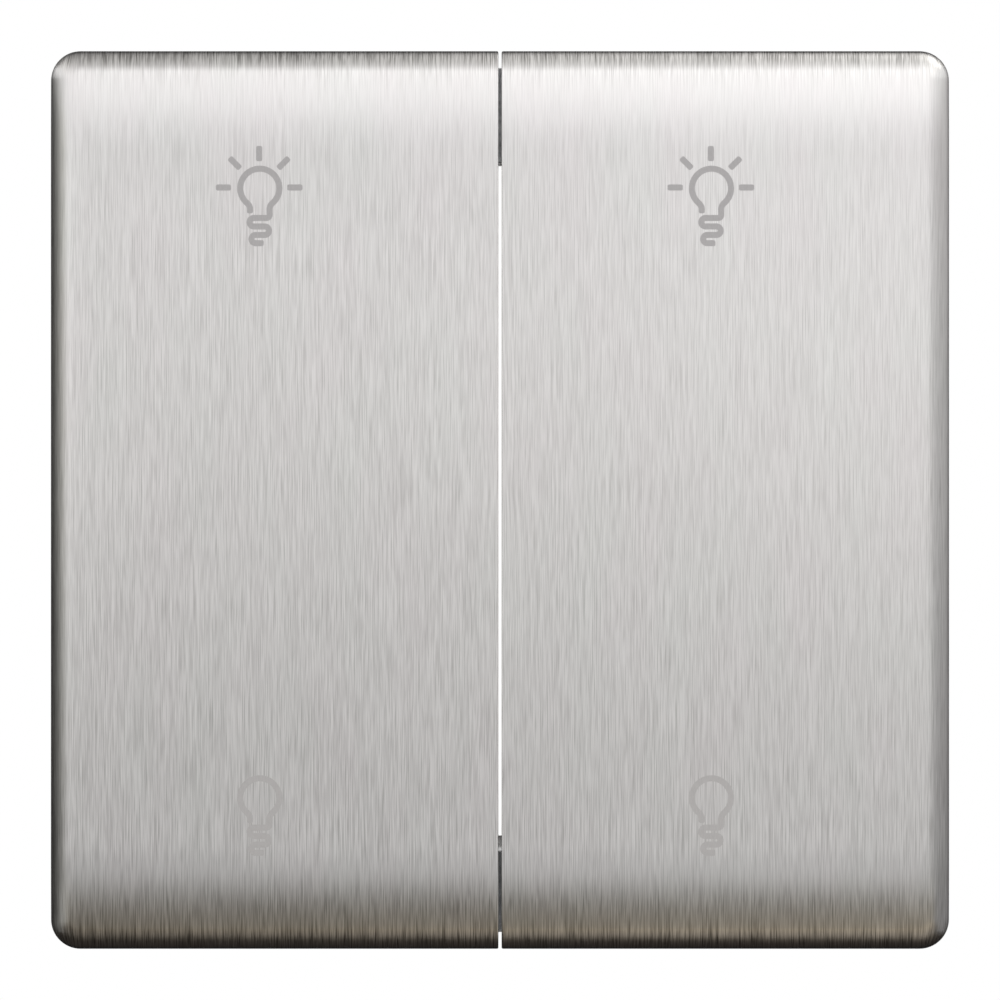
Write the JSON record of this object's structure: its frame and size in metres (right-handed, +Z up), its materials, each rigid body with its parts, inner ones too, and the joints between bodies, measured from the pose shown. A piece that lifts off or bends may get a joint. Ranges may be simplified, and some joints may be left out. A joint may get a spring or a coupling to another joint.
{
  "type": "pushbutton dimmer switch",
  "caption": "Flush-mounted wall dimmer with tall brushed steel rocker keys side by side, lit gap between them, support plate for a wall box and a rear housing with terminals.",
  "frame": {"origin": "centre of the wall box screws, on the wall plane, which is the support plate's back face", "axes": "+Y into the wall, +Z up, +X to the right as seen by someone facing the keys"},
  "size_m": [0.071, 0.037, 0.071],
  "materials": {
    "key_face": "vertically brushed stainless steel",
    "key_carrier": "dark grey moulded plastic",
    "opal_guide": "opal, lit from its foot",
    "cover_plastic": "off-white moulded plastic",
    "spring_steel": "bright spring strip",
    "plunger_plastic": "red moulded plastic",
    "switch_plastic": "black moulded plastic",
    "lamp": "clear lens",
    "board": "green solder mask",
    "chip": "black moulding compound",
    "zinc_plate": "zinc plated sheet",
    "screw_steel": "zinc plated",
    "housing_plastic": "grey moulded plastic",
    "link_plastic": "black moulded plastic",
    "ferrite": "sintered ferrite",
    "copper_wire": "enamelled copper wire",
    "film_capacitor": "yellow case",
    "storage_capacitor": "sleeved can",
    "varistor": "blue coated block",
    "fuse": "brown case",
    "transistor": "black moulding compound",
    "terminal_plastic": "pale moulded plastic",
    "clamp_brass": "bare brass"
  },
  "bodies": {
    "insert": {"support_plate": "zinc_plate", "front_cover": "cover_plastic", "light_guide": "opal_guide", "rear_housing": "housing_plastic", "housing_screws": "screw_steel", "terminal_screws": "screw_steel", "centering_spring_left": "spring_steel", "centering_spring_right": "spring_steel", "push_switch_left_upper": "switch_plastic", "push_switch_left_lower": "switch_plastic", "push_switch_right_upper": "switch_plastic", "push_switch_right_lower": "switch_plastic", "orientation_led": "lamp", "control_board": "board", "controller_chip": "chip", "power_board": "board", "board_link_left": "link_plastic", "board_link_right": "link_plastic", "choke_core": "ferrite", "choke_winding": "copper_wire", "film_capacitor": "film_capacitor", "storage_capacitor": "storage_capacitor", "varistor": "varistor", "fuse": "fuse", "power_transistor_left": "transistor", "power_transistor_right": "transistor", "transistor_clip": "spring_steel", "terminal_block": "terminal_plastic", "terminal_clamp_1": "clamp_brass", "terminal_clamp_2": "clamp_brass", "terminal_clamp_3": "clamp_brass", "terminal_clamp_4": "clamp_brass"},
    "key_left": {"key_face_left": "key_face", "key_carrier_left": "key_carrier"},
    "key_right": {"key_face_right": "key_face", "key_carrier_right": "key_carrier"},
    "plunger_left_upper": {"plunger_left_upper": "plunger_plastic"},
    "plunger_left_lower": {"plunger_left_lower": "plunger_plastic"},
    "plunger_right_upper": {"plunger_right_upper": "plunger_plastic"},
    "plunger_right_lower": {"plunger_right_lower": "plunger_plastic"}
  },
  "joints": [
    {"name": "left_key_rock", "type": "hinge", "parent": "insert", "child": "key_left", "pos_m": [-0.0178, -0.0078, 0], "axis": [-1, 0, 0], "range_deg": [-2, 2], "stiffness_Nm_per_rad": 1.8, "deforming": ["centering_spring_left"]},
    {"name": "right_key_rock", "type": "hinge", "parent": "insert", "child": "key_right", "pos_m": [0.0178, -0.0078, 0], "axis": [-1, 0, 0], "range_deg": [-2, 2], "stiffness_Nm_per_rad": 1.8, "deforming": ["centering_spring_right"]},
    {"name": "left_upper_plunger_slide", "type": "slide", "parent": "insert", "child": "plunger_left_upper", "axis": [0, 1, 0], "range_m": [-0.00054, 0.00054]},
    {"name": "left_lower_plunger_slide", "type": "slide", "parent": "insert", "child": "plunger_left_lower", "axis": [0, 1, 0], "range_m": [-0.00054, 0.00054]},
    {"name": "right_upper_plunger_slide", "type": "slide", "parent": "insert", "child": "plunger_right_upper", "axis": [0, 1, 0], "range_m": [-0.00054, 0.00054]},
    {"name": "right_lower_plunger_slide", "type": "slide", "parent": "insert", "child": "plunger_right_lower", "axis": [0, 1, 0], "range_m": [-0.00054, 0.00054]}
  ],
  "couplings": [
    {"joint": "left_upper_plunger_slide", "follows": "left_key_rock", "m_per_rad": 0.0152},
    {"joint": "left_lower_plunger_slide", "follows": "left_key_rock", "m_per_rad": -0.0152},
    {"joint": "right_upper_plunger_slide", "follows": "right_key_rock", "m_per_rad": 0.0152},
    {"joint": "right_lower_plunger_slide", "follows": "right_key_rock", "m_per_rad": -0.0152}
  ]
}
